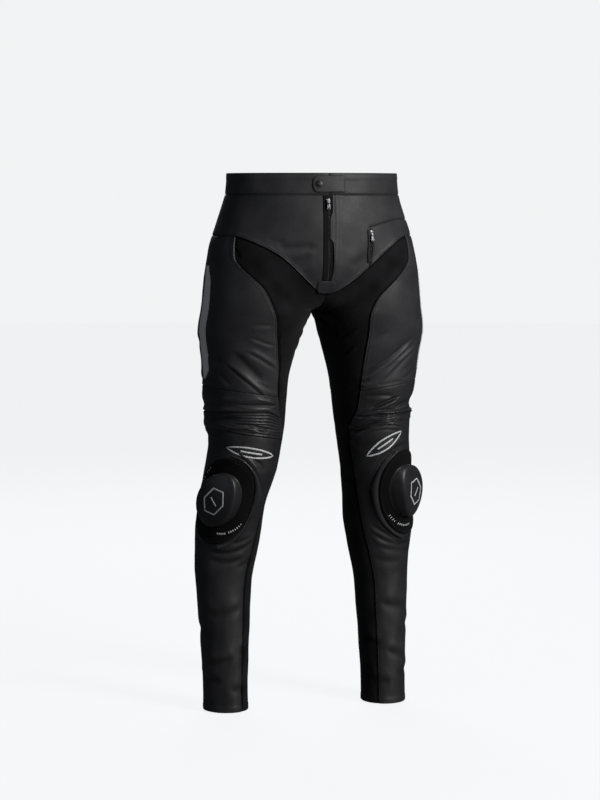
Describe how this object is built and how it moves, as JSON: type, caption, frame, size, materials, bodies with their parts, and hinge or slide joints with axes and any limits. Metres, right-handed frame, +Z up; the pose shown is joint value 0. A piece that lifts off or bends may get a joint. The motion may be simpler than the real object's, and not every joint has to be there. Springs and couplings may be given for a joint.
{
  "type": "leather motorcycle trousers",
  "caption": "Close-fitting leather motorcycle trousers in worn form, with stretch cloth inside the legs, ribbed knees, pull-off knee sliders and an open waist and hems.",
  "frame": {"origin": "middle of the waist opening, level with the top edge of the hips' leather, inside the waistband", "axes": "+Z up along the standing wearer, -Y toward the front of the trousers, +X toward the wearer's left"},
  "size_m": [0.4458, 0.2611, 1.0218],
  "materials": {
    "black_leather": "semi-matt, grained",
    "stretch_cloth": "matt, woven",
    "pale_leather": "semi-matt",
    "hook_and_loop": "napped, matt",
    "slider_plastic": "satin",
    "zip_tape": "woven, matt",
    "zip_metal": "dark, satin"
  },
  "bodies": {
    "garment": {"left_waistband": "black_leather", "left_front_panel": "black_leather", "left_side_front_panel": "black_leather", "left_thigh_panel": "black_leather", "left_seat_panel": "black_leather", "left_inner_thigh_panel": "stretch_cloth", "left_knee_accordion": "black_leather", "left_shin_panel": "black_leather", "left_calf_panel": "stretch_cloth", "left_side_stripe": "pale_leather", "left_slider_base": "hook_and_loop", "left_slider_trim": "black_leather", "left_knee_slider": "slider_plastic", "right_waistband": "black_leather", "right_front_panel": "black_leather", "right_thigh_panel": "black_leather", "right_seat_panel": "black_leather", "right_inner_thigh_panel": "stretch_cloth", "right_knee_accordion": "black_leather", "right_shin_panel": "black_leather", "right_calf_panel": "stretch_cloth", "right_side_stripe": "pale_leather", "right_slider_base": "hook_and_loop", "right_slider_trim": "black_leather", "right_knee_slider": "slider_plastic", "fly_zip_tape": "zip_tape", "fly_flap": "black_leather", "fly_end_patch": "black_leather", "waist_tab": "black_leather", "waist_snap": "zip_metal", "pocket_zip_tape": "zip_tape", "fly_zip_slider": "zip_metal", "pocket_zip_slider": "zip_metal"},
    "fly_pull": {"fly_zip_pull": "zip_metal"},
    "pocket_pull": {"pocket_zip_pull": "zip_metal"}
  },
  "joints": [
    {"name": "fly_pull_hinge", "type": "hinge", "parent": "garment", "child": "fly_pull", "pos_m": [-0.00348, -0.12357, -0.02948], "axis": [-0.9999, 0.0139, 0], "range_deg": [0, 160]},
    {"name": "pocket_pull_hinge", "type": "hinge", "parent": "garment", "child": "pocket_pull", "pos_m": [0.08361, -0.11446, -0.08875], "axis": [-0.9575, -0.2886, 0], "range_deg": [0, 160]}
  ]
}
